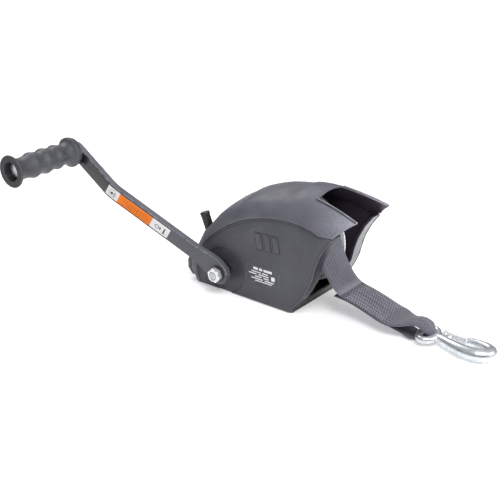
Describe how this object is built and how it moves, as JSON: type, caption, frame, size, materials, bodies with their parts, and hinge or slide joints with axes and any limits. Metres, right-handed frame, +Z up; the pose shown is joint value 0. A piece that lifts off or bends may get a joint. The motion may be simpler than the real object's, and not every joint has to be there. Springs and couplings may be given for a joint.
{
  "type": "boat trailer winch",
  "caption": "Covered hand winch with a geared strap drum, cranked arm with turning grip, ratchet lever, and a webbing strap with a snap hook.",
  "frame": {"origin": "centre of the base plate's underside, on the plane between the two side covers", "axes": "+X away from the crank, +Y away from the hook along the base, +Z up"},
  "size_m": [0.2688, 0.5849, 0.1829],
  "materials": {
    "cover_plastic": "grained moulded plastic",
    "black_steel": "black powder coat",
    "grey_steel": "dark grey coat",
    "zinc_plate": "bright zinc plate",
    "machined_steel": "oiled machined steel",
    "nylon": "natural nylon",
    "grip_rubber": "dark grey rubber",
    "lever_plastic": "black plastic",
    "webbing": "woven polyester",
    "label_vinyl": "printed vinyl"
  },
  "bodies": {
    "frame": {"base_plate": "black_steel", "left_side_plate": "black_steel", "right_side_plate": "black_steel", "tie_bar": "machined_steel", "hood_cover": "cover_plastic", "left_side_cover": "cover_plastic", "right_side_cover": "cover_plastic", "cover_screw_0": "zinc_plate", "cover_screw_1": "zinc_plate", "cover_screw_2": "zinc_plate", "cover_screw_3": "zinc_plate", "drum_axle": "zinc_plate", "axle_retaining_ring": "machined_steel", "left_shaft_bushing": "nylon", "right_shaft_bushing": "nylon", "left_thrust_washer": "nylon", "right_thrust_washer": "nylon", "pawl_pivot_pin": "zinc_plate", "pawl_pin_clip": "machined_steel", "pawl_spring": "zinc_plate", "strap": "webbing"},
    "drum": {"drum_hub": "machined_steel", "left_drum_bushing": "nylon", "right_drum_bushing": "nylon", "left_flange": "zinc_plate", "right_flange": "zinc_plate", "drum_gear": "machined_steel", "gear_rivet_0": "zinc_plate", "gear_rivet_1": "zinc_plate", "gear_rivet_2": "zinc_plate", "gear_rivet_3": "zinc_plate", "gear_rivet_4": "zinc_plate", "strap_anchor_bolt": "zinc_plate", "strap_winding": "webbing"},
    "crank": {"drive_shaft": "machined_steel", "shaft_retaining_ring": "machined_steel", "pinion_gear": "machined_steel", "ratchet_wheel": "machined_steel", "crank_arm": "grey_steel", "arm_label": "label_vinyl", "arm_washer": "black_steel", "arm_lock_nut": "zinc_plate", "grip_pin": "zinc_plate"},
    "grip": {"hand_grip": "grip_rubber"},
    "pawl": {"ratchet_pawl": "machined_steel", "lever_sleeve": "lever_plastic"},
    "hook": {"snap_hook": "zinc_plate", "latch_rivet": "zinc_plate"},
    "latch": {"hook_latch": "zinc_plate"}
  },
  "joints": [
    {"name": "crank_turn", "type": "hinge", "parent": "frame", "child": "crank", "pos_m": [0, 0.02785, 0.0305], "axis": [1, 0, 0], "continuous": true},
    {"name": "drum_spin", "type": "hinge", "parent": "frame", "child": "drum", "pos_m": [0, -0.03906, 0.06991], "axis": [1, 0, 0], "continuous": true},
    {"name": "grip_spin", "type": "hinge", "parent": "crank", "child": "grip", "pos_m": [-0.15, 0.23448, 0.16214], "axis": [1, 0, 0], "continuous": true},
    {"name": "pawl_swing", "type": "hinge", "parent": "frame", "child": "pawl", "pos_m": [-0.03775, 0.05765, 0.052], "axis": [1, 0, 0], "range_deg": [-9, 4]},
    {"name": "hook_swing", "type": "hinge", "parent": "frame", "child": "hook", "pos_m": [-0.01, -0.23375, 0.009], "axis": [-1, 0, 0], "range_deg": [0, 75]},
    {"name": "latch_open", "type": "hinge", "parent": "hook", "child": "latch", "pos_m": [-0.0016, -0.26125, 0.009], "axis": [0, 0, -1], "range_deg": [0, 16], "stiffness_Nm_per_rad": 0.05, "springref_deg": -17.19}
  ],
  "couplings": [
    {"joint": "drum_spin", "follows": "crank_turn", "ratio": -0.26531}
  ]
}
